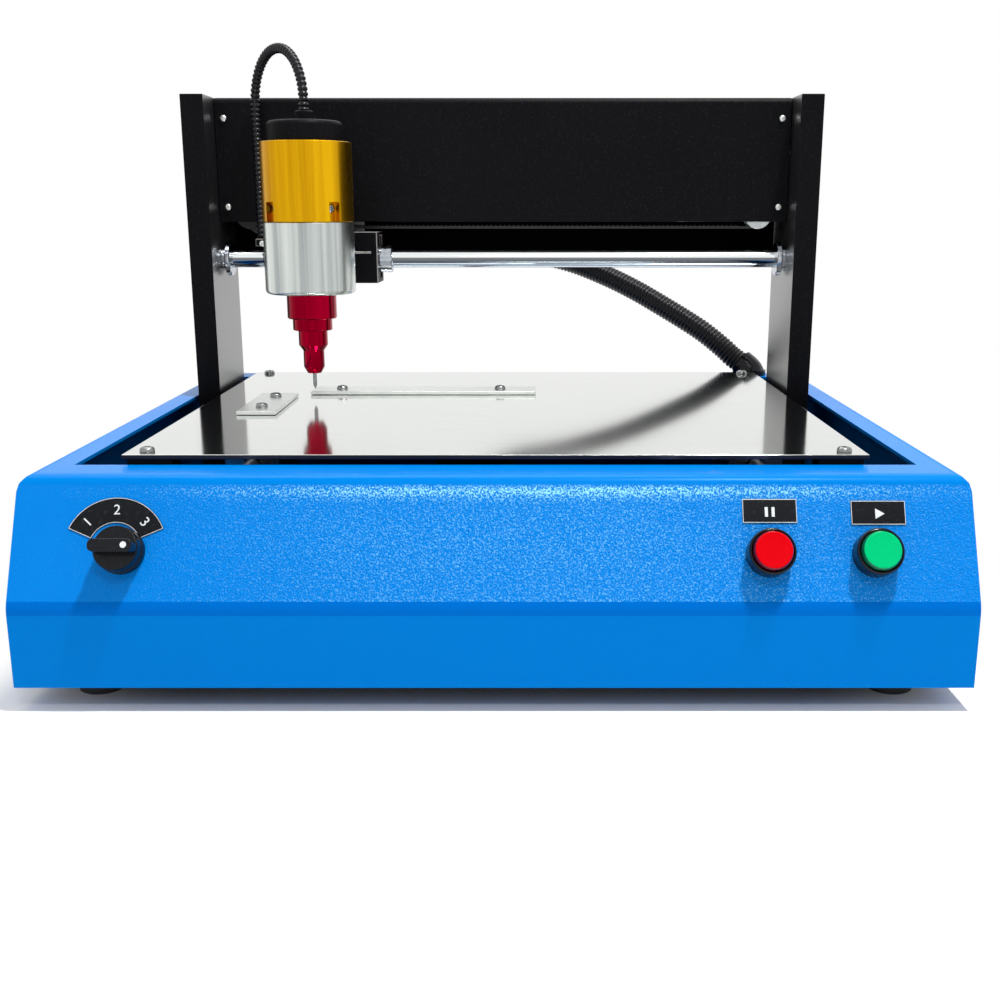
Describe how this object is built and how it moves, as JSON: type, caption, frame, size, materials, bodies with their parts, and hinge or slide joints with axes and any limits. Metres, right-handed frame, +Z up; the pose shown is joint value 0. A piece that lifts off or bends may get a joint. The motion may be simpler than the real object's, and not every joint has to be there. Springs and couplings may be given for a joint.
{
  "type": "nameplate marking machine",
  "caption": "Desk-top marking machine: sloped-front housing with a flat plate and fences, and a moving gantry that carries a sprung stylus head sideways over the plate.",
  "frame": {"origin": "on the table under the middle of the machine's box", "axes": "+X to the operator's right, +Y to the back of the machine, +Z up"},
  "size_m": [0.37, 0.3879, 0.2716],
  "materials": {
    "housing_paint": "blue powder coat, finely textured on the sloped front",
    "black_paint": "matt black",
    "polished_steel": "mirror-polished stainless steel",
    "plain_steel": "fine brushed",
    "ground_chrome": "ground and chromed",
    "aluminium": "satin turned and milled",
    "gold_anodised": "gold anodised",
    "red_anodised": "red anodised",
    "copper_winding": "enamelled copper wire",
    "black_rubber": "matt black",
    "black_plastic": "fine satin",
    "red_plastic": "smooth gloss",
    "green_plastic": "smooth gloss",
    "circuit_board": "green solder resist"
  },
  "bodies": {
    "base": {"housing_shell": "housing_paint", "bottom_plate": "black_paint", "front_left_foot": "black_rubber", "front_right_foot": "black_rubber", "back_left_foot": "black_rubber", "back_right_foot": "black_rubber", "left_rail_frame": "aluminium", "right_rail_frame": "aluminium", "marking_plate": "polished_steel", "long_fence": "plain_steel", "short_fence": "plain_steel", "left_guide_rail": "ground_chrome", "right_guide_rail": "ground_chrome", "gantry_motor": "black_paint", "gantry_idler_bracket": "aluminium", "gantry_belt": "black_rubber", "power_supply": "aluminium", "control_board": "circuit_board", "mains_inlet": "black_plastic", "power_switch_frame": "black_plastic", "data_socket": "plain_steel", "red_button_body": "black_plastic", "green_button_body": "black_plastic", "selector_base": "black_plastic", "housing_conduit_elbow": "aluminium", "beam_conduit": "black_rubber"},
    "gantry": {"left_upright": "black_paint", "right_upright": "black_paint", "left_bearing_block": "aluminium", "right_bearing_block": "aluminium", "gantry_cross_tie": "aluminium", "beam_front_cover": "black_paint", "beam_back_panel": "black_paint", "lower_beam_rail": "ground_chrome", "upper_beam_rail": "ground_chrome", "left_rail_flange": "ground_chrome", "right_rail_flange": "ground_chrome", "carriage_motor": "black_paint", "carriage_belt": "black_rubber", "beam_conduit_elbow": "black_plastic"},
    "carriage": {"carriage_block": "black_paint", "carriage_riser": "aluminium", "left_rail_bearing": "ground_chrome", "right_rail_bearing": "ground_chrome", "head_body": "aluminium", "head_ring": "gold_anodised", "head_nose": "red_anodised", "head_cap": "black_paint", "solenoid_coil": "copper_winding", "stylus_spring": "plain_steel", "head_conduit": "black_rubber"},
    "stylus": {"stylus": "plain_steel"},
    "red_button": {"red_button_cap": "red_plastic"},
    "green_button": {"green_button_cap": "green_plastic"},
    "selector": {"selector_knob": "black_plastic"},
    "power_switch": {"power_switch_rocker": "black_plastic"},
    "gantry_drive": {"gantry_drive_pulley": "aluminium"},
    "gantry_idler": {"gantry_idler_pulley": "aluminium"},
    "carriage_drive": {"carriage_drive_pulley": "aluminium"},
    "carriage_idler": {"carriage_idler_pulley": "aluminium"}
  },
  "joints": [
    {"name": "gantry_slide", "type": "slide", "parent": "base", "child": "gantry", "axis": [0, -1, 0], "range_m": [-0.003, 0.15], "deforming": ["beam_conduit"]},
    {"name": "carriage_slide", "type": "slide", "parent": "gantry", "child": "carriage", "axis": [1, 0, 0], "range_m": [-0.005, 0.202]},
    {"name": "stylus_slide", "type": "slide", "parent": "carriage", "child": "stylus", "axis": [0, 0, -1], "range_m": [0, 0.0035], "stiffness_N_per_m": 400, "springref_m": -0.002, "deforming": ["stylus_spring"]},
    {"name": "red_press", "type": "slide", "parent": "base", "child": "red_button", "axis": [0, 0.8988, -0.4384], "range_m": [0, 0.0025], "stiffness_N_per_m": 300, "springref_m": -0.001},
    {"name": "green_press", "type": "slide", "parent": "base", "child": "green_button", "axis": [0, 0.8988, -0.4384], "range_m": [0, 0.0025], "stiffness_N_per_m": 300, "springref_m": -0.001},
    {"name": "selector_turn", "type": "hinge", "parent": "base", "child": "selector", "pos_m": [-0.1423, -0.1539, 0.06177], "axis": [0, -0.8988, 0.4384], "range_deg": [0, 140]},
    {"name": "power_rocker", "type": "hinge", "parent": "base", "child": "power_switch", "pos_m": [-0.066, 0.16266, 0.048], "axis": [-1, 0, 0], "range_deg": [0, 24]},
    {"name": "gantry_drive_turn", "type": "hinge", "parent": "base", "child": "gantry_drive", "pos_m": [0, 0.12146, 0.044], "axis": [1, 0, 0], "range_deg": [-28, 1354]},
    {"name": "gantry_idler_turn", "type": "hinge", "parent": "base", "child": "gantry_idler", "pos_m": [0, -0.11854, 0.044], "axis": [1, 0, 0], "range_deg": [-28, 1354]},
    {"name": "carriage_drive_turn", "type": "hinge", "parent": "gantry", "child": "carriage_drive", "pos_m": [-0.14, 0.08646, 0.186], "axis": [0, 1, 0], "range_deg": [-1824, 46]},
    {"name": "carriage_idler_turn", "type": "hinge", "parent": "gantry", "child": "carriage_idler", "pos_m": [0.14, 0.08646, 0.186], "axis": [0, 1, 0], "range_deg": [-1824, 46]}
  ],
  "couplings": [
    {"joint": "gantry_drive_turn", "follows": "gantry_slide", "rad_per_m": 157.48},
    {"joint": "gantry_idler_turn", "follows": "gantry_slide", "rad_per_m": 157.48},
    {"joint": "carriage_drive_turn", "follows": "carriage_slide", "rad_per_m": -157.48},
    {"joint": "carriage_idler_turn", "follows": "carriage_slide", "rad_per_m": -157.48}
  ]
}
